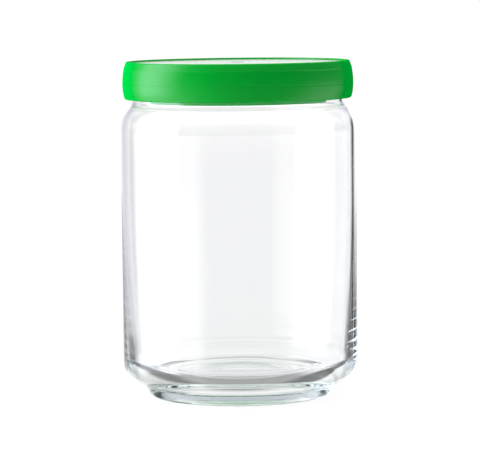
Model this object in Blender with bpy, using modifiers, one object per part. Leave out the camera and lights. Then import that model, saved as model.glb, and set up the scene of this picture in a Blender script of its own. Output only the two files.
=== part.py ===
"""A round, thick-based glass storage jar with a press-on plastic lid and a soft sealing ring.

Three turned pieces share the +Z axis. The origin is the centre of the jar's foot, on the surface
it stands on. The lid lifts straight up off the jar, and turns freely while it is seated.
Every profile is a chain of (radius, height) points in metres, in its piece's own frame.
"""

import math

import bpy
from mathutils import Vector

MM = 0.001
FIT_GAP = 0.3 * MM

# How finely the turned pieces and the fillets in their profiles are divided.
TURN_STEPS = 64
LARGE_FILLET_STEPS = 3
SMALL_FILLET_STEPS = 1
LARGE_FILLET = 1.0 * MM

# Glass body.
BODY_RADIUS = 52.4 * MM
WALL_THIN = 1.9 * MM
WALL_THICK = 4.4 * MM
WALL_THIN_FROM = 95.0 * MM

# Foot, with its standing ring round a shallow hollow, and the ledge above it.
FOOT_RADIUS = 42.6 * MM
FOOT_TAPER = 2.6 * MM
FOOT_ROUND = 2.3 * MM
RING_INNER_RADIUS = 29.4 * MM
HOLLOW_RISE = 2.3 * MM
LEDGE_HEIGHT = 4.95 * MM
LEDGE_NOTCH_ROUND = 1.6 * MM
HEEL_RADIAL = 14.7 * MM
HEEL_HEIGHT = 10.3 * MM
HEEL_TURN = 66

# Cavity floor and the wide curve that joins it to the wall.
FLOOR_HEIGHT = 8.7 * MM
FLOOR_DOME = 0.25 * MM
CORNER_RADIAL = 14.9 * MM
CORNER_HEIGHT = 9.3 * MM

# Shoulder, neck and rolled rim.
SHOULDER_BASE = 118.1 * MM
SHOULDER_RADIAL = 8.5 * MM
SHOULDER_HEIGHT = 12.9 * MM
NECK_RADIUS = 47.2 * MM
NECK_BLEND = 3.0 * MM
NECK_BLEND_ANGLE = 58
BORE_RADIUS = 45.3 * MM
BEAD_RADIUS = 48.5 * MM
BEAD_BASE = 138.2 * MM
BEAD_UNDERCUT = 1.4 * MM
RIM_HEIGHT = 145.0 * MM
RIM_ROUND = 1.5 * MM

# Lid, measured up from the glass rim, except its radii.
LID_TOP = 4.0 * MM
PANEL_TOP = 3.4 * MM
PANEL_UNDER = 1.5 * MM
LID_BOTTOM = -12.6 * MM
RECESS_RADIUS = 48.1 * MM
RIM_EDGE_RADIUS = 49.6 * MM
CREASE_RADIUS = 50.55 * MM
CREASE_DROP = 2.7 * MM
WIDEST_RADIUS = 51.3 * MM
WIDEST_DROP = 9.8 * MM
HEM_RADIUS = 50.95 * MM
HEM_DROP = 14.2 * MM
HEM_FOOT_RADIUS = 50.35 * MM
HEM_ROUND = 0.9 * MM
SKIRT_INNER_RADIUS = 49.1 * MM
DRAFT = 0.2 * MM
PLUG_RADIUS = 39.4 * MM
PLUG_WALL = 1.8 * MM
PLUG_BOTTOM = -14.3 * MM
PLUG_STOP = -10.8 * MM
PLUG_STOP_REACH = 0.9 * MM

# Sealing ring round the lid's plug: a sleeve, a flange over the glass rim and two fins.
SLEEVE_WALL = 1.3 * MM
SLEEVE_BOTTOM = -9.6 * MM
FLANGE_THICKNESS = 0.9 * MM
FLANGE_RADIUS = 47.3 * MM
FIN_ROOT = 1.5 * MM
FIN_TIP = 0.7 * MM
FIN_DROPS = (2.6 * MM, 6.6 * MM)

JAR_COLLECTION = "storage_jar"


def arc(centre, radii, start, end, steps):
    """Points on an ellipse arc, from start to end in degrees, both ends included."""
    points = []
    for i in range(steps + 1):
        angle = math.radians(start + (end - start) * i / steps)
        points.append(
            (
                centre[0] + radii[0] * math.cos(angle),
                centre[1] + radii[1] * math.sin(angle),
            )
        )
    return points


def fillet(before, corner, after, radius):
    """The corner between two straight runs, replaced by an arc tangent to both."""
    steps = LARGE_FILLET_STEPS if radius >= LARGE_FILLET else SMALL_FILLET_STEPS
    here = Vector(corner)
    back = (Vector(before) - here).normalized()
    ahead = (Vector(after) - here).normalized()
    half = back.angle(ahead) / 2
    inset = radius / math.tan(half)
    centre = here + (back + ahead).normalized() * (radius / math.sin(half))
    start = here + back * inset - centre
    end = here + ahead * inset - centre
    turn = start.angle_signed(end)
    points = []
    for i in range(steps + 1):
        angle = -turn * i / steps
        x = start.x * math.cos(angle) - start.y * math.sin(angle)
        z = start.x * math.sin(angle) + start.y * math.cos(angle)
        points.append((centre.x + x, centre.y + z))
    return points


def rounded(corners, closed=False):
    """A path through (radius, height, fillet) corners. A fillet of 0 keeps the corner sharp."""
    path = []
    count = len(corners)
    for i, (x, z, radius) in enumerate(corners):
        at_end = not closed and i in (0, count - 1)
        if radius == 0 or at_end:
            path.append((x, z))
            continue
        before = corners[i - 1][:2]
        after = corners[(i + 1) % count][:2]
        path.extend(fillet(before, (x, z), after, radius))
    return path


def principled(name, colour, roughness, **settings):
    """A material with one Principled BSDF. Extra settings are input names with _ for spaces."""
    material = bpy.data.materials.new(name)
    material.use_nodes = True
    shader = material.node_tree.nodes["Principled BSDF"]
    shader.inputs["Base Color"].default_value = (*colour, 1.0)
    shader.inputs["Roughness"].default_value = roughness
    shader.inputs["Metallic"].default_value = 0.0
    for setting, value in settings.items():
        shader.inputs[setting.replace("_", " ")].default_value = value
    return material


def clear_glass():
    return principled("clear_glass", (0.95, 0.99, 0.97), 0.02, Transmission_Weight=1.0, IOR=1.52)


def frosted_green():
    return principled("frosted_green_plastic", (0.0, 0.38, 0.06), 0.42, Transmission_Weight=0.25)


def milky_seal():
    return principled("milky_seal_rubber", (0.82, 0.86, 0.83), 0.5, Subsurface_Weight=0.3)


def turned(name, profile, material, collection, closed=False):
    """A piece turned about +Z from its profile, which runs down the outer side."""
    edges = [(i, i + 1) for i in range(len(profile) - 1)]
    if closed:
        edges.append((len(profile) - 1, 0))
    mesh = bpy.data.meshes.new(name)
    mesh.from_pydata([(x, 0.0, z) for x, z in profile], edges, [])
    mesh.materials.append(material)
    piece = bpy.data.objects.new(name, mesh)
    collection.objects.link(piece)
    screw = piece.modifiers.new("turn", "SCREW")
    screw.axis = "Z"
    screw.angle = math.tau
    screw.steps = TURN_STEPS
    screw.render_steps = TURN_STEPS
    screw.use_merge_vertices = True
    screw.merge_threshold = 0.00001
    screw.use_smooth_shade = True
    return piece


def wall_thickness(height):
    """Thin above WALL_THIN_FROM, and thickening smoothly down to the top of the inner corner."""
    corner_top = FLOOR_HEIGHT + CORNER_HEIGHT
    share = max(0.0, (WALL_THIN_FROM - height) / (WALL_THIN_FROM - corner_top))
    return WALL_THIN + (WALL_THICK - WALL_THIN) * share**2


def shoulder_curve(depth, upright_radius):
    """From an upright wall of the neck out and down to the straight wall, depth inside the glass."""
    centre = (BODY_RADIUS - SHOULDER_RADIAL, SHOULDER_BASE)
    radii = (SHOULDER_RADIAL - depth, SHOULDER_HEIGHT - depth)
    path = arc(centre, radii, NECK_BLEND_ANGLE, 0, 6)
    top = path[0]
    slope = radii[1] / radii[0] / math.tan(math.radians(NECK_BLEND_ANGLE))
    corner = (upright_radius, top[1] + (top[0] - upright_radius) * slope)
    above = (upright_radius, BEAD_BASE)
    return fillet(above, corner, top, NECK_BLEND + depth) + path[1:]


def cavity_profile():
    """The inside of the jar, from the middle of its floor up to the bore at the rim."""
    corner_top = FLOOR_HEIGHT + CORNER_HEIGHT
    corner_centre = (BODY_RADIUS - WALL_THICK - CORNER_RADIAL, corner_top)
    path = [(0.0, FLOOR_HEIGHT + FLOOR_DOME), (corner_centre[0] / 2, FLOOR_HEIGHT + FLOOR_DOME / 2)]
    path += arc(corner_centre, (CORNER_RADIAL, CORNER_HEIGHT), -90, 0, 7)
    wall_stations = 4
    for i in range(1, wall_stations + 1):
        height = corner_top + (WALL_THIN_FROM - corner_top) * i / wall_stations
        path.append((BODY_RADIUS - wall_thickness(height), height))
    return path + shoulder_curve(WALL_THIN, BORE_RADIUS)[::-1]


def rim_profile():
    """Up the bore, over the rolled rim and down to the neck."""
    corners = [
        (BORE_RADIUS, BEAD_BASE, 0),
        (BORE_RADIUS, RIM_HEIGHT, RIM_ROUND),
        (BEAD_RADIUS, RIM_HEIGHT, RIM_ROUND),
        (BEAD_RADIUS, BEAD_BASE, 0.8 * MM),
        (NECK_RADIUS, BEAD_BASE - BEAD_UNDERCUT, 1.2 * MM),
        (NECK_RADIUS, SHOULDER_BASE, 0),
    ]
    return rounded(corners)[1:-1]


def foot_profile():
    """Round the heel, under the ledge, down the foot, and in over the hollow to the axis."""
    heel_centre = (BODY_RADIUS - HEEL_RADIAL, LEDGE_HEIGHT + HEEL_HEIGHT)
    path = arc(heel_centre, (HEEL_RADIAL, HEEL_HEIGHT), 0, -HEEL_TURN, 7)
    heel_end = path[-1]
    hollow_run = 2 * HOLLOW_RISE
    corners = [
        (*heel_end, 0),
        (FOOT_RADIUS, LEDGE_HEIGHT - 0.4 * MM, LEDGE_NOTCH_ROUND),
        (FOOT_RADIUS - FOOT_TAPER, 0.0, FOOT_ROUND),
        (RING_INNER_RADIUS, 0.0, 0.6 * MM),
        (RING_INNER_RADIUS - hollow_run, HOLLOW_RISE, 1.0 * MM),
        (0.0, HOLLOW_RISE + FLOOR_DOME, 0),
    ]
    return path[:-1] + rounded(corners)


def glass_jar(collection):
    shoulder = shoulder_curve(0.0, NECK_RADIUS)
    profile = cavity_profile() + rim_profile() + shoulder + foot_profile()
    return turned("glass_jar", profile, clear_glass(), collection)


def skirt_side():
    """The lid's outer side: a short chamfer under the rim, then a barrel that closes in to the hem."""
    crease = LID_TOP - CREASE_DROP
    widest = LID_TOP - WIDEST_DROP
    hem = LID_TOP - HEM_DROP
    upper = (WIDEST_RADIUS - CREASE_RADIUS) / (crease - widest) ** 2
    lower = (WIDEST_RADIUS - HEM_RADIUS) / (widest - hem) ** 2
    stations = 5
    path = []
    for i in range(stations + 1):
        height = crease + (hem - crease) * i / stations
        bend = upper if height > widest else lower
        path.append((WIDEST_RADIUS - bend * (height - widest) ** 2, height))
    return path


def lid_cap(collection):
    plug_inner = PLUG_RADIUS - PLUG_WALL
    stop_radius = PLUG_RADIUS + PLUG_STOP_REACH
    side = skirt_side()
    top = [
        (0.0, PANEL_TOP, 0),
        (RECESS_RADIUS - DRAFT, PANEL_TOP, 0.4 * MM),
        (RECESS_RADIUS, LID_TOP, 0.3 * MM),
        (RIM_EDGE_RADIUS, LID_TOP, 0.6 * MM),
        (*side[0], 0),
    ]
    under = [
        (*side[-1], 0),
        (HEM_FOOT_RADIUS, LID_BOTTOM, HEM_ROUND),
        (SKIRT_INNER_RADIUS, LID_BOTTOM, 0.3 * MM),
        (SKIRT_INNER_RADIUS - DRAFT, PANEL_UNDER, 1.0 * MM),
        (PLUG_RADIUS, PANEL_UNDER, 0),
        (PLUG_RADIUS, PLUG_STOP + PLUG_STOP_REACH, 0),
        (stop_radius, PLUG_STOP, 0.3 * MM),
        (PLUG_RADIUS, PLUG_STOP - PLUG_STOP_REACH, 0),
        (PLUG_RADIUS, PLUG_BOTTOM, 0.6 * MM),
        (plug_inner, PLUG_BOTTOM, 0.6 * MM),
        (plug_inner, PANEL_UNDER, 1.2 * MM),
        (0.0, PANEL_UNDER, 0),
    ]
    profile = rounded(top)[:-1] + side[:-1] + rounded(under)
    return turned("lid_cap", profile, frosted_green(), collection)


def fin(drop, root_radius, tip_radius):
    """One sealing fin, pointing out and slightly up, as corners of the ring's profile."""
    lift = 0.6 * MM
    return [
        (root_radius, -drop, 0),
        (tip_radius, -drop + lift, 0.2 * MM),
        (tip_radius, -drop + lift - FIN_TIP, 0.2 * MM),
        (root_radius, -drop - FIN_ROOT, 0),
    ]


def lid_seal(collection):
    inner = PLUG_RADIUS + FIT_GAP
    outer = inner + SLEEVE_WALL
    flange_top = PANEL_UNDER - FIT_GAP
    corners = [
        (inner, flange_top, 0.2 * MM),
        (FLANGE_RADIUS, flange_top, 0.3 * MM),
        (FLANGE_RADIUS, flange_top - FLANGE_THICKNESS, 0.3 * MM),
        (outer, flange_top - FLANGE_THICKNESS, 0.4 * MM),
    ]
    for drop in FIN_DROPS:
        corners += fin(drop, outer, BORE_RADIUS - FIT_GAP)
    corners += [(outer, SLEEVE_BOTTOM, 0.3 * MM), (inner, SLEEVE_BOTTOM, 0.3 * MM)]
    return turned("lid_seal", rounded(corners, closed=True), milky_seal(), collection, closed=True)


def build():
    for obj in list(bpy.data.objects):
        bpy.data.objects.remove(obj)
    collection = bpy.data.collections.new(JAR_COLLECTION)
    bpy.context.scene.collection.children.link(collection)
    jar = glass_jar(collection)
    seal = lid_seal(collection)
    cap = lid_cap(collection)
    seal.parent = jar
    seal.location = (0.0, 0.0, RIM_HEIGHT)
    cap.parent = seal


build()
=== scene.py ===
"""A glass storage jar: fine turned meshes, materials, a bright-field studio and a camera.

Every piece is turned about +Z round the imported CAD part, which fixes the overall sizes and the
places of the rim and the lid. Profiles are chains of (radius, height) points in metres.
"""

import math

import bpy
from mathutils import Matrix, Vector, noise


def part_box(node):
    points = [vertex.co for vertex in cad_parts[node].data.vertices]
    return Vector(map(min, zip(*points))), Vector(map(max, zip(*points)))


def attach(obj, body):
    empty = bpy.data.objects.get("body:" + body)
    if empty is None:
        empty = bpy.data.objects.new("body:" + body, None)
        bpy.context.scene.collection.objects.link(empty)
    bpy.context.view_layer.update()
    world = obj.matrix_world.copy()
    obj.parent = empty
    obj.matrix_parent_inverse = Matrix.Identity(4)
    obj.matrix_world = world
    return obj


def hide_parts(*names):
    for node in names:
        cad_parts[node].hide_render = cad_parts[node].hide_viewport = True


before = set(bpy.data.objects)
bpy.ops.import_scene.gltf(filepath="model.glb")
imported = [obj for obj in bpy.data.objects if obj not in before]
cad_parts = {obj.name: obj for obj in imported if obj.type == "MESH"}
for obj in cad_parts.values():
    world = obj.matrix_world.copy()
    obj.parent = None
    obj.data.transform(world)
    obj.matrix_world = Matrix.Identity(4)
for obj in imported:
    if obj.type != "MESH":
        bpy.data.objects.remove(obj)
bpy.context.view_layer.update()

MM = 0.001
JAR_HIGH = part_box("glass_jar")[1]
LID_LOW, LID_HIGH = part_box("lid_cap")
SEAL_LOW, SEAL_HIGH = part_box("lid_seal")
FIT_GAP = 0.3 * MM

# Mesh fineness.
TURN_STEPS = 256
ARC_STEP = 0.35 * MM
SMALL_ARC_STEPS = 5
FLAT_STEP = 2.5 * MM
NO_LENGTH = 0.001 * MM
FLOOR_STATIONS = 12
WALL_STATIONS = 40
HOLLOW_STATIONS = 60
SKIRT_STATIONS = 110

# Glass body.
BODY_RADIUS = JAR_HIGH.x
WALL_THIN = 1.9 * MM
WALL_THICK = 4.4 * MM
WALL_THIN_FROM = 95.0 * MM
FOOT_RADIUS = 42.6 * MM
FOOT_TAPER = 2.6 * MM
FOOT_ROUND = 2.3 * MM
RING_INNER_RADIUS = 29.4 * MM
HOLLOW_RISE = 2.3 * MM
LEDGE_HEIGHT = 4.95 * MM
LEDGE_NOTCH_ROUND = 1.6 * MM
HEEL_RADIAL = 14.7 * MM
HEEL_HEIGHT = 10.3 * MM
HEEL_TURN = 66
FLOOR_HEIGHT = 8.7 * MM
FLOOR_DOME = 0.25 * MM
CORNER_RADIAL = 14.9 * MM
CORNER_HEIGHT = 9.3 * MM
SHOULDER_BASE = 118.1 * MM
SHOULDER_RADIAL = 8.5 * MM
SHOULDER_HEIGHT = 12.9 * MM
NECK_RADIUS = 47.2 * MM
NECK_BLEND = 3.0 * MM
NECK_BLEND_ANGLE = 58
BORE_RADIUS = 45.3 * MM
BEAD_RADIUS = 48.5 * MM
BEAD_BASE = 138.2 * MM
BEAD_UNDERCUT = 1.4 * MM
RIM_HEIGHT = JAR_HIGH.z
RIM_ROUND = 1.5 * MM

# Traces of pressing: waves inside the wall and the heel, and fine rings under the foot.
WALL_WAVE = 0.012 * MM
HEEL_WAVE = 0.03 * MM
WAVE_LENGTH = 7.0 * MM
WAVE_FADE_HEIGHT = 45.0 * MM
STREAK_STRETCH = 0.25
SWELL_STRETCH = (0.4, 0.4, 2.0)
SWELL_OFFSET = Vector((7.3, 1.9, 4.1))
RING_DEPTH = 0.012 * MM
RING_PITCH = 2.2 * MM
RING_FADE_RADIUS = 26.0 * MM
RING_FADE_WIDTH = 3.0 * MM
RING_START_WIDTH = 4.0 * MM
HOLLOW_FLAT_RADIUS = 25.0 * MM

# Lid. Its heights are measured down from its top.
LID_TOP = LID_HIGH.z
WIDEST_RADIUS = LID_HIGH.x
PLUG_BOTTOM = LID_LOW.z
PANEL_TOP = LID_TOP - 0.6 * MM
PANEL_UNDER = LID_TOP - 2.5 * MM
LID_BOTTOM = LID_TOP - 16.6 * MM
RECESS_RADIUS = 48.1 * MM
RIM_EDGE_RADIUS = 49.6 * MM
CREASE_RADIUS = 50.55 * MM
CREASE_DROP = 2.7 * MM
WIDEST_DROP = 9.8 * MM
HEM_RADIUS = 50.95 * MM
HEM_DROP = 14.2 * MM
HEM_FOOT_RADIUS = 50.35 * MM
HEM_ROUND = 0.9 * MM
SKIRT_INNER_RADIUS = 49.1 * MM
DRAFT = 0.2 * MM
PLUG_RADIUS = 39.4 * MM
PLUG_WALL = 1.8 * MM
PLUG_STOP = LID_TOP - 14.8 * MM
PLUG_STOP_REACH = 0.9 * MM
PARTING_WIDTH = 0.35 * MM
PARTING_DEPTH = 0.07 * MM
RIDGE_WIDTH = 0.5 * MM
RIDGE_HEIGHT = 0.10 * MM
GATE_RADIUS = 3.0 * MM
GATE_DEPTH = 0.3 * MM

# Sealing ring.
SLEEVE_WALL = 1.3 * MM
SLEEVE_BOTTOM = SEAL_LOW.z
FLANGE_TOP = SEAL_HIGH.z
FLANGE_THICKNESS = 0.9 * MM
FLANGE_RADIUS = SEAL_HIGH.x
FIN_ROOT = 1.5 * MM
FIN_TIP = 0.7 * MM
FIN_LIFT = 0.6 * MM
FIN_DROPS = (2.6 * MM, 6.6 * MM)

# Glass.
GLASS_IOR = 1.52
SMEAR_SCALE = 60.0
SMEAR_STRETCH = (1.0, 1.0, 0.4)
SMEAR_FROM = (0.45, 0.75)
SMEAR_ROUGHNESS = 0.02
GLASS_TINT = (0.25, 0.80, 0.60, 1.0)
GLASS_TINT_DENSITY = 1.9

# Lid plastic. The panel's colour is darkened at a flat angle of view, a painted shade, and the
# underside round the plug is painted paler, a painted light that stands in for light reaching it
# through the glass.
PLASTIC_IOR = 1.5
PLASTIC_COLOURS = ((0.0, 0.45, 0.03), (0.0, 0.51, 0.05))
# The panel's own colour, then its painted shade for a flat angle of view.
PANEL_COLOUR_AND_PAINTED_SHADE = ((0.0, 0.42, 0.035), (0.0, 0.16, 0.02))
# Facing values over which the panel's painted shade sets in.
PANEL_PAINTED_SHADE_FACING = (0.65, 0.9)
# Painted light: a much paler green for the plug and the underside round it, as if lit through the
# glass.
PLUG_PAINTED_LIGHT_COLOUR = (0.0, 0.90, 0.14)
PANEL_ROUGHNESS = 0.12
PANEL_SHEEN = 0.5
PANEL_EDGE_BLEND = 0.6 * MM
PANEL_BLEND = (PANEL_TOP - 0.5 * MM, PANEL_TOP - 0.2 * MM)
# Where the plug's painted light is laid: radii and heights of its blend.
PLUG_PAINTED_LIGHT_RADII = (PLUG_RADIUS + FIT_GAP, SKIRT_INNER_RADIUS - 1.0 * MM)
PLUG_PAINTED_LIGHT_HEIGHTS = (PANEL_UNDER - 4.0 * MM, PANEL_UNDER)
SKIRT_ROUGHNESS = (0.28, 0.33)
SHEEN_RISE = (0.08, 0.32, 0.14, 0.5)
SHEEN_FALL = (0.38, 0.62, 1.0, 0.0)
FLOW_SCALE = 45.0
GRAIN_SCALE = 2600.0
GRAIN_BUMP = (0.02 * MM, 0.3)
DRAWN_SCALE = 60.0
DRAWN_STRETCH = (1.0, 1.0, 30.0)
DRAWN_BUMP = (0.04 * MM, 0.08)
DRAWN_FROM = (0.3, 0.7)
PLASTIC_SCATTER = 0.6
PLASTIC_SCATTER_RADIUS = (0.1, 1.0, 0.25)
PLASTIC_SCATTER_SCALE = 3.0 * MM

# Seal rubber.
RUBBER_COLOURS = ((0.78, 0.82, 0.79), (0.86, 0.89, 0.86))
RUBBER_ROUGHNESS = (0.42, 0.55)
RUBBER_CLOUD_SCALE = 120.0
RUBBER_CLOUD_FROM = (0.3, 0.7)
RUBBER_SCATTER = 0.5
RUBBER_SCATTER_RADIUS = (1.0, 1.0, 0.9)
RUBBER_SCATTER_SCALE = 2.0 * MM
RUBBER_GRAIN_SCALE = 1500.0
RUBBER_GRAIN_BUMP = (0.02 * MM, 0.3)

# Camera: where it stands, where it aims, its field of view, its slight roll and its clipping.
CAMERA_ASIDE = 0.0003
CAMERA_BACK = 1.2027
CAMERA_HEIGHT = 0.184
AIM_HEIGHT = 0.0735
VIEW_ANGLE = 10.14
CAMERA_ROLL = -0.6
SENSOR_WIDTH = 36.0
CLIP_NEAR = 0.05
CLIP_FAR = 50.0

# Studio. Azimuth 0 is straight behind the jar and positive to the right, elevation 0 is level.
# A sheet is its name, then for azimuth and for elevation the low end, its soft width, the high
# end and its soft width in degrees, and last its radiance.
ALL_ROUND = (-181, 1, 181, 1)
ROOM_LIGHT = 0.62
STUDIO_SHEETS = (
    ("ceiling", ALL_ROUND, (34, 8, 91, 1), 1.05),
    ("table", ALL_ROUND, (-91, 1, -1, 2), 0.60),
    ("table_far", ALL_ROUND, (-20, 8, -1, 2), 0.80),
    ("table_under_jar", ALL_ROUND, (-91, 1, -58, 18), 0.38),
    ("table_left", (-140, 12, -68, 12), (-46, 14, -6, 5), 1.8),
    ("table_right", (62, 14, 125, 12), (-46, 14, -9, 5), 1.1),
    ("camera_side_left", (-181, 1, -150, 16), (-46, 12, -3, 6), 0.62),
    ("camera_side_right", (140, 16, 181, 1), (-46, 12, -3, 6), 0.62),
    ("dark_left", (-181, 1, -52, 12), (1, 3, 34, 8), 0.08),
    ("dark_right", (52, 12, 181, 1), (1, 3, 34, 8), 0.08),
    ("softbox_left", (-110, 12, -72, 18), (-10, 10, 40, 12), 3.4),
    ("grey_left", (-52, 10, -14, 10), (-14, 4, 6, 6), 0.72),
    ("flag_left", (-50, 10, -28, 8), (-50, 12, -17, 4), 0.12),
    ("backdrop", (-6, 14, 21, 3), (-3, 4, 5, 4), 1.27),
    ("backdrop_foot", (-12, 10, 22, 3), (-45, 10, -4, 3), 0.95),
    ("flag_right", (22, 3, 42, 8), (-50, 12, -14, 4), 0.12),
    ("black_flag", (24, 2, 34, 4), (-30, 6, 2, 4), 0.02),
)
BACKDROP_WHITE = 1.0
BOUNCES = 40

# Dim light above the table and the softbox's light are slightly blue.
WHITE = (1.0, 1.0, 1.0)
SHADE_TINT = (0.95, 0.96, 1.10)
SHADE_LIGHT = (0.5, 1.0)
SHADE_ELEVATION = (-16.0, -9.0)
SOFTBOX_TINT = (0.96, 0.98, 1.14)
SOFTBOX_LIGHT = (1.6, 3.0)

# Table top.
FLOOR_SIZE = 60.0
FLOOR_DROP = 0.2 * MM
FLOOR_GLOW = 0.94
FLOOR_GREY = 0.12


def arc(centre, radii, start, end):
    """Points on an ellipse arc, from start to end in degrees, both ends included."""
    length = math.radians(abs(end - start)) * max(radii)
    steps = max(SMALL_ARC_STEPS, math.ceil(length / ARC_STEP))
    angles = [math.radians(start + (end - start) * i / steps) for i in range(steps + 1)]
    x, z = centre
    return [(x + radii[0] * math.cos(a), z + radii[1] * math.sin(a)) for a in angles]


def fillet(before, corner, after, radius):
    """The corner between two straight runs, replaced by an arc tangent to both."""
    here = Vector(corner)
    back = (Vector(before) - here).normalized()
    ahead = (Vector(after) - here).normalized()
    half = back.angle(ahead) / 2
    centre = here + (back + ahead).normalized() * (radius / math.sin(half))
    start = here + back * (radius / math.tan(half)) - centre
    end = here + ahead * (radius / math.tan(half)) - centre
    first = math.degrees(math.atan2(start.y, start.x))
    turn = -math.degrees(start.angle_signed(end))
    return arc(centre, (radius, radius), first, first + turn)


def rounded(corners, closed=False):
    """A path through (radius, height, fillet) corners. A fillet of 0 keeps the corner sharp."""
    path = []
    count = len(corners)
    for i, (x, z, radius) in enumerate(corners):
        at_end = not closed and i in (0, count - 1)
        if radius == 0 or at_end:
            path.append((x, z))
            continue
        before = corners[i - 1][:2]
        after = corners[(i + 1) % count][:2]
        path.extend(fillet(before, (x, z), after, radius))
    return path


def even(path, closed=False):
    """The same path with no doubled points, and long runs divided so that shading stays true."""
    ends = path[1:] + path[:1] if closed else path[1:]
    points = []
    for start, end in zip(path, ends):
        run = math.dist(start, end)
        if run < NO_LENGTH:
            continue
        steps = max(1, math.ceil(run / FLAT_STEP))
        for i in range(steps):
            share = i / steps
            x = start[0] + (end[0] - start[0]) * share
            z = start[1] + (end[1] - start[1]) * share
            points.append((x, z))
    if not closed:
        points.append(path[-1])
    return points


def turned(name, profile, closed=False, steps=TURN_STEPS):
    """A smooth mesh object turned about +Z from a profile that runs down the outer side."""
    on_axis = [x < NO_LENGTH for x, z in profile]
    angles = [math.tau * k / steps for k in range(steps)]
    vertices, rings = [], []
    for (x, z), at_axis in zip(profile, on_axis):
        first = len(vertices)
        if at_axis:
            vertices.append((0.0, 0.0, z))
            rings.append([first] * steps)
        else:
            vertices += [(x * math.cos(a), x * math.sin(a), z) for a in angles]
            rings.append(list(range(first, first + steps)))
    pairs = list(zip(rings, rings[1:]))
    if closed:
        pairs.append((rings[-1], rings[0]))
    faces = []
    for upper, lower in pairs:
        for k in range(steps):
            n = (k + 1) % steps
            corners = dict.fromkeys((upper[k], lower[k], lower[n], upper[n]))
            faces.append(tuple(corners))
    mesh = bpy.data.meshes.new(name)
    mesh.from_pydata(vertices, [], faces)
    mesh.shade_smooth()
    piece = bpy.data.objects.new(name, mesh)
    bpy.context.scene.collection.objects.link(piece)
    weighted = piece.modifiers.new("even_shading", "WEIGHTED_NORMAL")
    weighted.keep_sharp = True
    return piece


def smoothstep(low, high, value):
    share = min(1.0, max(0.0, (value - low) / (high - low)))
    return share * share * (3 - 2 * share)


def wall_thickness(height):
    """Thin above WALL_THIN_FROM, and thickening smoothly down to the top of the inner corner."""
    corner_top = FLOOR_HEIGHT + CORNER_HEIGHT
    share = max(0.0, (WALL_THIN_FROM - height) / (WALL_THIN_FROM - corner_top))
    return WALL_THIN + (WALL_THICK - WALL_THIN) * share**2


def shoulder_curve(depth, upright_radius):
    """From the neck's upright wall out and down to the straight wall, depth inside the glass."""
    centre = (BODY_RADIUS - SHOULDER_RADIAL, SHOULDER_BASE)
    radii = (SHOULDER_RADIAL - depth, SHOULDER_HEIGHT - depth)
    path = arc(centre, radii, NECK_BLEND_ANGLE, 0)
    top = path[0]
    slope = radii[1] / radii[0] / math.tan(math.radians(NECK_BLEND_ANGLE))
    corner = (upright_radius, top[1] + (top[0] - upright_radius) * slope)
    above = (upright_radius, BEAD_BASE)
    return fillet(above, corner, top, NECK_BLEND + depth) + path[1:]


def cavity_profile():
    """The inside of the jar, from the middle of its floor up to the bore at the rim."""
    corner_top = FLOOR_HEIGHT + CORNER_HEIGHT
    corner_centre = (BODY_RADIUS - WALL_THICK - CORNER_RADIAL, corner_top)
    path = []
    for i in range(FLOOR_STATIONS):
        share = i / FLOOR_STATIONS
        rise = FLOOR_DOME * 0.5 * (1 + math.cos(math.pi * share))
        path.append((corner_centre[0] * share, FLOOR_HEIGHT + rise))
    path += arc(corner_centre, (CORNER_RADIAL, CORNER_HEIGHT), -90, 0)
    for i in range(1, WALL_STATIONS + 1):
        height = corner_top + (WALL_THIN_FROM - corner_top) * i / WALL_STATIONS
        path.append((BODY_RADIUS - wall_thickness(height), height))
    return path + shoulder_curve(WALL_THIN, BORE_RADIUS)[::-1]


def rim_profile():
    """Up the bore, over the rolled rim and down to the neck."""
    corners = [
        (BORE_RADIUS, BEAD_BASE, 0),
        (BORE_RADIUS, RIM_HEIGHT, RIM_ROUND),
        (BEAD_RADIUS, RIM_HEIGHT, RIM_ROUND),
        (BEAD_RADIUS, BEAD_BASE, 0.8 * MM),
        (NECK_RADIUS, BEAD_BASE - BEAD_UNDERCUT, 1.2 * MM),
        (NECK_RADIUS, SHOULDER_BASE, 0),
    ]
    return rounded(corners)[1:-1]


def mould_ring(radius):
    """Height of the fine rings that the turned mould leaves under the foot."""
    start = smoothstep(0.0, RING_START_WIDTH, radius)
    end = 1 - smoothstep(RING_FADE_RADIUS - RING_FADE_WIDTH, RING_FADE_RADIUS, radius)
    return RING_DEPTH * start * end * math.sin(math.tau * radius / RING_PITCH)


def foot_profile():
    """Round the heel, under the ledge, down the foot, and in over the hollow to the axis."""
    heel_centre = (BODY_RADIUS - HEEL_RADIAL, LEDGE_HEIGHT + HEEL_HEIGHT)
    path = arc(heel_centre, (HEEL_RADIAL, HEEL_HEIGHT), 0, -HEEL_TURN)
    corners = [
        (*path[-1], 0),
        (FOOT_RADIUS, LEDGE_HEIGHT - 0.4 * MM, LEDGE_NOTCH_ROUND),
        (FOOT_RADIUS - FOOT_TAPER, 0.0, FOOT_ROUND),
        (RING_INNER_RADIUS, 0.0, 0.6 * MM),
        (RING_INNER_RADIUS - 2 * HOLLOW_RISE, HOLLOW_RISE, 1.0 * MM),
        (HOLLOW_FLAT_RADIUS, HOLLOW_RISE, 0),
    ]
    path = path[:-1] + rounded(corners)
    for i in range(1, HOLLOW_STATIONS + 1):
        radius = HOLLOW_FLAT_RADIUS * (1 - i / HOLLOW_STATIONS)
        rise = FLOOR_DOME * (1 - radius / RING_FADE_RADIUS) + mould_ring(radius)
        path.append((radius, HOLLOW_RISE + rise))
    return path


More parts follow.
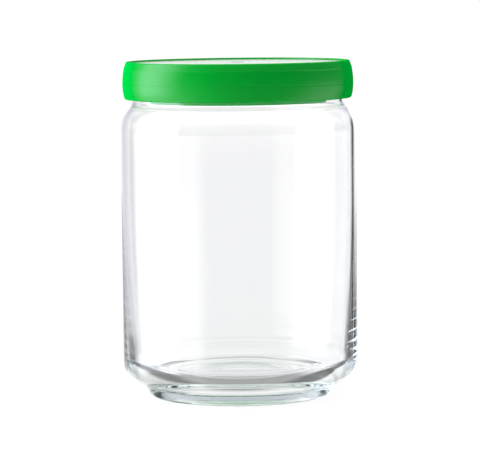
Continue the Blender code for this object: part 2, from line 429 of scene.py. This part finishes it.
def ripple_glass(mesh):
    """Faint waves run up the inside of the wall, and slightly coarser ones round the heel."""
    floor_top = FLOOR_HEIGHT + FLOOR_DOME
    corner_top = FLOOR_HEIGHT + CORNER_HEIGHT
    outer_margin = WALL_THIN * 0.6
    for vertex in mesh.vertices:
        x, y, z = vertex.co
        radius = math.hypot(x, y)
        above_floor = FLOOR_HEIGHT - 0.1 * MM < z < SHOULDER_BASE
        inside = 1.0 * MM <= radius < BODY_RADIUS - outer_margin
        if not (above_floor and inside):
            continue
        low = 1 - smoothstep(corner_top, WAVE_FADE_HEIGHT, z)
        off_floor = smoothstep(floor_top, corner_top, z)
        streaks = noise.noise(Vector((x, y, z * STREAK_STRETCH)) / WAVE_LENGTH)
        swell_place = Vector((x * SWELL_STRETCH[0], y * SWELL_STRETCH[1], z * SWELL_STRETCH[2]))
        swells = noise.noise(swell_place / WAVE_LENGTH + SWELL_OFFSET)
        push = WALL_WAVE * streaks + HEEL_WAVE * low * off_floor * swells
        vertex.co = vertex.co + Vector((x, y, 0)) / radius * push * off_floor


def glass_body():
    shoulder = shoulder_curve(0.0, NECK_RADIUS)
    profile = cavity_profile() + rim_profile() + shoulder + foot_profile()
    piece = turned("glass_body", even(profile))
    ripple_glass(piece.data)
    return piece


def skirt_side():
    """The lid's outer side: a ridge under the chamfer, a barrel with a parting line, the hem."""
    crease = LID_TOP - CREASE_DROP
    widest = LID_TOP - WIDEST_DROP
    hem = LID_TOP - HEM_DROP
    upper = (WIDEST_RADIUS - CREASE_RADIUS) / (crease - widest) ** 2
    lower = (WIDEST_RADIUS - HEM_RADIUS) / (widest - hem) ** 2
    ridge = crease - RIDGE_WIDTH
    path = []
    for i in range(SKIRT_STATIONS + 1):
        height = crease + (hem - crease) * i / SKIRT_STATIONS
        bend = upper if height > widest else lower
        radius = WIDEST_RADIUS - bend * (height - widest) ** 2
        radius -= PARTING_DEPTH * math.exp(-(((height - widest) / (PARTING_WIDTH / 2)) ** 2))
        radius += RIDGE_HEIGHT * math.exp(-(((height - ridge) / (RIDGE_WIDTH / 2)) ** 2))
        path.append((radius, height))
    return path


def lid_shell():
    plug_inner = PLUG_RADIUS - PLUG_WALL
    side = skirt_side()
    top = [
        (0.0, PANEL_TOP - GATE_DEPTH, 0),
        (GATE_RADIUS, PANEL_TOP - GATE_DEPTH, 0.3 * MM),
        (GATE_RADIUS + GATE_DEPTH, PANEL_TOP, 0.3 * MM),
        (RECESS_RADIUS - DRAFT, PANEL_TOP, 0.4 * MM),
        (RECESS_RADIUS, LID_TOP, 0.3 * MM),
        (RIM_EDGE_RADIUS, LID_TOP, 0.6 * MM),
        (side[0][0], side[0][1], 0),
    ]
    under = [
        (side[-1][0], side[-1][1], 0),
        (HEM_FOOT_RADIUS, LID_BOTTOM, HEM_ROUND),
        (SKIRT_INNER_RADIUS, LID_BOTTOM, 0.3 * MM),
        (SKIRT_INNER_RADIUS - DRAFT, PANEL_UNDER, 1.0 * MM),
        (PLUG_RADIUS, PANEL_UNDER, 0),
        (PLUG_RADIUS, PLUG_STOP + PLUG_STOP_REACH, 0),
        (PLUG_RADIUS + PLUG_STOP_REACH, PLUG_STOP, 0.3 * MM),
        (PLUG_RADIUS, PLUG_STOP - PLUG_STOP_REACH, 0),
        (PLUG_RADIUS, PLUG_BOTTOM, 0.6 * MM),
        (plug_inner, PLUG_BOTTOM, 0.6 * MM),
        (plug_inner, PANEL_UNDER, 1.2 * MM),
        (0.0, PANEL_UNDER, 0),
    ]
    profile = rounded(top)[:-1] + side[:-1] + rounded(under)
    return turned("lid_shell", even(profile))


def fin(drop, root_radius, tip_radius):
    """One sealing fin, pointing out and slightly up, as corners of the ring's profile."""
    root = RIM_HEIGHT - drop
    return [
        (root_radius, root, 0),
        (tip_radius, root + FIN_LIFT, 0.2 * MM),
        (tip_radius, root + FIN_LIFT - FIN_TIP, 0.2 * MM),
        (root_radius, root - FIN_ROOT, 0),
    ]


def seal_ring():
    inner = PLUG_RADIUS + FIT_GAP
    outer = inner + SLEEVE_WALL
    corners = [
        (inner, FLANGE_TOP, 0.2 * MM),
        (FLANGE_RADIUS, FLANGE_TOP, 0.3 * MM),
        (FLANGE_RADIUS, FLANGE_TOP - FLANGE_THICKNESS, 0.3 * MM),
        (outer, FLANGE_TOP - FLANGE_THICKNESS, 0.4 * MM),
    ]
    for drop in FIN_DROPS:
        corners += fin(drop, outer, BORE_RADIUS - FIT_GAP)
    corners += [(outer, SLEEVE_BOTTOM, 0.3 * MM), (inner, SLEEVE_BOTTOM, 0.3 * MM)]
    return turned("seal_ring", even(rounded(corners, closed=True), closed=True), closed=True)


class Nodes:
    """Short calls for building a node tree."""

    def __init__(self, tree):
        self.tree = tree
        self.tree.nodes.clear()

    def add(self, kind, **settings):
        node = self.tree.nodes.new(kind)
        for name, value in settings.items():
            setattr(node, name, value)
        return node

    def join(self, source, target):
        if isinstance(source, (int, float)):
            target.default_value = source
        elif isinstance(source, tuple):
            target.default_value = (*source, 1.0)[: len(target.default_value)]
        else:
            self.tree.links.new(source, target)

    def math(self, operation, first, second=0.0, third=0.0):
        node = self.add("ShaderNodeMath", operation=operation)
        for source, target in zip((first, second, third), node.inputs):
            self.join(source, target)
        return node.outputs[0]

    def ramp(self, value, low, high, to_low=0.0, to_high=1.0):
        """A smooth step from to_low at low to to_high at high."""
        node = self.add("ShaderNodeMapRange", interpolation_type="SMOOTHSTEP")
        for source, target in zip((value, low, high, to_low, to_high), node.inputs):
            self.join(source, target)
        return node.outputs[0]

    def noise(self, vector, scale, detail=2.0):
        node = self.add("ShaderNodeTexNoise")
        self.join(vector, node.inputs["Vector"])
        self.join(scale, node.inputs["Scale"])
        self.join(detail, node.inputs["Detail"])
        return node.outputs["Fac"]

    def stretched(self, vector, factors):
        """The vector with each axis scaled, to draw a pattern out along one of them."""
        node = self.add("ShaderNodeVectorMath", operation="MULTIPLY")
        self.join(vector, node.inputs[0])
        node.inputs[1].default_value = factors
        return node.outputs[0]

    def bump(self, height, distance, strength, normal=None):
        node = self.add("ShaderNodeBump")
        self.join(height, node.inputs["Height"])
        node.inputs["Distance"].default_value = distance
        node.inputs["Strength"].default_value = strength
        if normal is not None:
            self.join(normal, node.inputs["Normal"])
        return node.outputs["Normal"]

    def mix_colour(self, share, first, second):
        node = self.add("ShaderNodeMix", data_type="RGBA")
        self.join(share, node.inputs["Factor"])
        self.join(first, node.inputs[6])
        self.join(second, node.inputs[7])
        return node.outputs[2]


def new_material(name):
    material = bpy.data.materials.new(name)
    material.use_nodes = True
    return material, Nodes(material.node_tree)


def clear_glass():
    """Soda-lime glass: clear, a little uneven, and faintly green where it is thick."""
    material, n = new_material("clear_glass")
    place = n.add("ShaderNodeTexCoord").outputs["Object"]
    smears = n.noise(n.stretched(place, SMEAR_STRETCH), SMEAR_SCALE, 3.0)
    shader = n.add("ShaderNodeBsdfPrincipled")
    n.join(WHITE, shader.inputs["Base Color"])
    n.join(1.0, shader.inputs["Transmission Weight"])
    n.join(GLASS_IOR, shader.inputs["IOR"])
    n.join(n.ramp(smears, *SMEAR_FROM, 0.0, SMEAR_ROUGHNESS), shader.inputs["Roughness"])
    absorb = n.add("ShaderNodeVolumeAbsorption")
    absorb.inputs["Color"].default_value = GLASS_TINT
    absorb.inputs["Density"].default_value = GLASS_TINT_DENSITY
    out = n.add("ShaderNodeOutputMaterial")
    n.join(shader.outputs[0], out.inputs["Surface"])
    n.join(absorb.outputs[0], out.inputs["Volume"])
    return material


def distance_from_axis(n, parts):
    """How far a point is from the Z axis, from its separated coordinates."""
    across = n.math("POWER", parts.outputs[0], 2.0)
    along = n.math("POWER", parts.outputs[1], 2.0)
    return n.math("SQRT", n.math("ADD", across, along))


def frosted_green():
    """Translucent plastic: a fine frosted skin, drawn lines round the skirt, a glossier panel."""
    material, n = new_material("frosted_green_plastic")
    place = n.add("ShaderNodeTexCoord").outputs["Object"]
    facing = n.add("ShaderNodeLayerWeight").outputs["Facing"]
    parts = n.add("ShaderNodeSeparateXYZ")
    n.join(place, parts.inputs[0])
    height = parts.outputs[2]
    radius = distance_from_axis(n, parts)

    flow = n.noise(place, FLOW_SCALE, 3.0)
    drawn = n.noise(n.stretched(place, DRAWN_STRETCH), DRAWN_SCALE, 4.0)
    normal = n.bump(n.noise(place, GRAIN_SCALE), *GRAIN_BUMP)
    normal = n.bump(drawn, *DRAWN_BUMP, normal)

    in_recess = n.ramp(radius, RECESS_RADIUS - PANEL_EDGE_BLEND, RECESS_RADIUS, 1.0, 0.0)
    on_panel = n.math("MULTIPLY", in_recess, n.ramp(height, *PANEL_BLEND))
    near_plug = n.ramp(radius, *PLUG_PAINTED_LIGHT_RADII, 1.0, 0.0)
    below_panel = n.ramp(height, *PLUG_PAINTED_LIGHT_HEIGHTS, 1.0, 0.0)
    # Mask of the painted light round the plug.
    plug_painted_light = n.math("MULTIPLY", near_plug, below_panel)

    colour = n.mix_colour(flow, *PLASTIC_COLOURS)
    # Painted shade: the panel's colour darkens as it is seen at a flatter angle.
    panel_colour_with_painted_shade = n.mix_colour(n.ramp(facing, *PANEL_PAINTED_SHADE_FACING), *PANEL_COLOUR_AND_PAINTED_SHADE)
    colour = n.mix_colour(on_panel, colour, panel_colour_with_painted_shade)
    # Painted light: the plug and the underside round it are painted paler.
    colour = n.mix_colour(plug_painted_light, colour, PLUG_PAINTED_LIGHT_COLOUR)
    roughness = n.ramp(drawn, *DRAWN_FROM, *SKIRT_ROUGHNESS)
    sheen = n.math("MULTIPLY", n.ramp(facing, *SHEEN_RISE), n.ramp(facing, *SHEEN_FALL))

    shader = n.add("ShaderNodeBsdfPrincipled", subsurface_method="RANDOM_WALK")
    n.join(colour, shader.inputs["Base Color"])
    n.join(n.ramp(on_panel, 0.0, 1.0, roughness, PANEL_ROUGHNESS), shader.inputs["Roughness"])
    n.join(PLASTIC_IOR, shader.inputs["IOR"])
    n.join(n.ramp(on_panel, 0.0, 1.0, sheen, PANEL_SHEEN), shader.inputs["Specular IOR Level"])
    n.join(PLASTIC_SCATTER, shader.inputs["Subsurface Weight"])
    shader.inputs["Subsurface Radius"].default_value = PLASTIC_SCATTER_RADIUS
    n.join(PLASTIC_SCATTER_SCALE, shader.inputs["Subsurface Scale"])
    n.join(normal, shader.inputs["Normal"])
    out = n.add("ShaderNodeOutputMaterial")
    n.join(shader.outputs[0], out.inputs["Surface"])
    return material


def milky_seal():
    """Soft translucent sealing rubber with a satin skin."""
    material, n = new_material("milky_seal_rubber")
    place = n.add("ShaderNodeTexCoord").outputs["Object"]
    cloud = n.noise(place, RUBBER_CLOUD_SCALE, 3.0)
    shader = n.add("ShaderNodeBsdfPrincipled", subsurface_method="RANDOM_WALK")
    n.join(n.mix_colour(cloud, *RUBBER_COLOURS), shader.inputs["Base Color"])
    n.join(n.ramp(cloud, *RUBBER_CLOUD_FROM, *RUBBER_ROUGHNESS), shader.inputs["Roughness"])
    n.join(RUBBER_SCATTER, shader.inputs["Subsurface Weight"])
    shader.inputs["Subsurface Radius"].default_value = RUBBER_SCATTER_RADIUS
    n.join(RUBBER_SCATTER_SCALE, shader.inputs["Subsurface Scale"])
    normal = n.bump(n.noise(place, RUBBER_GRAIN_SCALE), *RUBBER_GRAIN_BUMP)
    n.join(normal, shader.inputs["Normal"])
    out = n.add("ShaderNodeOutputMaterial")
    n.join(shader.outputs[0], out.inputs["Surface"])
    return material


def make_camera():
    camera = bpy.data.objects.new("camera", bpy.data.cameras.new("camera"))
    bpy.context.scene.collection.objects.link(camera)
    camera.data.sensor_width = SENSOR_WIDTH
    camera.data.lens = SENSOR_WIDTH / 2 / math.tan(math.radians(VIEW_ANGLE / 2))
    camera.data.clip_start = CLIP_NEAR
    camera.data.clip_end = CLIP_FAR
    spot = Vector((CAMERA_ASIDE, -CAMERA_BACK, CAMERA_HEIGHT))
    aim = Vector((CAMERA_ASIDE, 0.0, AIM_HEIGHT))
    turn = (aim - spot).to_track_quat("-Z", "Y").to_matrix().to_4x4()
    roll = Matrix.Rotation(math.radians(CAMERA_ROLL), 4, "Z")
    camera.matrix_world = Matrix.Translation(spot) @ turn @ roll
    bpy.context.scene.camera = camera
    return camera


def make_heading(camera):
    """An empty at the jar's foot whose -Y side faces the camera, so the studio turns with it."""
    heading = bpy.data.objects.new("studio_heading", None)
    bpy.context.scene.collection.objects.link(heading)
    track = heading.constraints.new("LOCKED_TRACK")
    track.target = camera
    track.track_axis = "TRACK_NEGATIVE_Y"
    track.lock_axis = "LOCK_Z"
    return heading


def band(n, value, low, low_soft, high, high_soft):
    """1 between low and high, falling smoothly to 0 over low_soft below and high_soft above."""
    rise = n.ramp(value, low - low_soft, low)
    fall = n.ramp(value, high, high + high_soft, 1.0, 0.0)
    return n.math("MULTIPLY", rise, fall)


def studio_light(n, azimuth, elevation):
    """Radiance of the studio round the jar: each sheet of light is laid over the ones before it."""
    radiance = ROOM_LIGHT
    for _, az, el, light in STUDIO_SHEETS:
        share = n.math("MULTIPLY", band(n, azimuth, *az), band(n, elevation, *el))
        change = n.math("SUBTRACT", light, radiance)
        radiance = n.math("MULTIPLY_ADD", change, share, radiance)
    return radiance


def direction_angles(n, vector):
    """Azimuth and elevation in degrees of a direction in the studio's frame."""
    unit = n.add("ShaderNodeVectorMath", operation="NORMALIZE")
    n.join(vector, unit.inputs[0])
    parts = n.add("ShaderNodeSeparateXYZ")
    n.join(unit.outputs[0], parts.inputs[0])
    azimuth = n.math("DEGREES", n.math("ARCTAN2", parts.outputs[0], parts.outputs[1]))
    elevation = n.math("DEGREES", n.math("ARCSINE", parts.outputs[2]))
    return azimuth, elevation


def make_world(heading):
    """The studio lights the jar and shows through it. Past the jar, the camera sees plain white."""
    world = bpy.data.worlds.new("studio")
    world.use_nodes = True
    bpy.context.scene.world = world
    n = Nodes(world.node_tree)
    place = n.add("ShaderNodeTexCoord", object=heading).outputs["Object"]
    azimuth, elevation = direction_angles(n, place)
    seen = n.add("ShaderNodeLightPath").outputs["Is Camera Ray"]
    light = studio_light(n, azimuth, elevation)
    dim = n.ramp(light, *SHADE_LIGHT, 1.0, 0.0)
    in_shade = n.math("MULTIPLY", dim, n.ramp(elevation, *SHADE_ELEVATION))
    colour = n.mix_colour(in_shade, WHITE, SHADE_TINT)
    colour = n.mix_colour(n.ramp(light, *SOFTBOX_LIGHT), colour, SOFTBOX_TINT)
    background = n.add("ShaderNodeBackground")
    n.join(colour, background.inputs["Color"])
    n.join(n.ramp(seen, 0.0, 1.0, light, BACKDROP_WHITE), background.inputs["Strength"])
    out = n.add("ShaderNodeOutputWorld")
    n.join(background.outputs[0], out.inputs["Surface"])


def make_floor():
    """A pale table top. The jar's glass shows the studio's own lower half in its place."""
    bpy.ops.mesh.primitive_plane_add(size=FLOOR_SIZE, location=(0, 0, -FLOOR_DROP))
    floor = bpy.context.object
    floor.name = "floor"
    material, n = new_material("pale_floor")
    emission = n.add("ShaderNodeEmission")
    n.join(FLOOR_GLOW, emission.inputs["Strength"])
    diffuse = n.add("ShaderNodeBsdfDiffuse")
    n.join((FLOOR_GREY, FLOOR_GREY, FLOOR_GREY), diffuse.inputs["Color"])
    add = n.add("ShaderNodeAddShader")
    n.join(emission.outputs[0], add.inputs[0])
    n.join(diffuse.outputs[0], add.inputs[1])
    out = n.add("ShaderNodeOutputMaterial")
    n.join(add.outputs[0], out.inputs["Surface"])
    floor.data.materials.append(material)
    floor.visible_transmission = False
    floor.visible_glossy = False
    floor.visible_diffuse = False
    floor.visible_shadow = False


def dress(piece, material, body, node):
    piece.data.materials.append(material)
    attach(piece, body)
    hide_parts(node)


def make_look():
    """Plain colours, and enough bounces for light to find its way through the thick base."""
    scene = bpy.context.scene
    scene.view_settings.view_transform = "Standard"
    scene.cycles.max_bounces = BOUNCES
    scene.cycles.glossy_bounces = BOUNCES
    scene.cycles.transmission_bounces = BOUNCES


dress(glass_body(), clear_glass(), "jar", "glass_jar")
dress(seal_ring(), milky_seal(), "seal", "lid_seal")
dress(lid_shell(), frosted_green(), "lid", "lid_cap")
studio_heading = make_heading(make_camera())
make_world(studio_heading)
make_floor()
make_look()
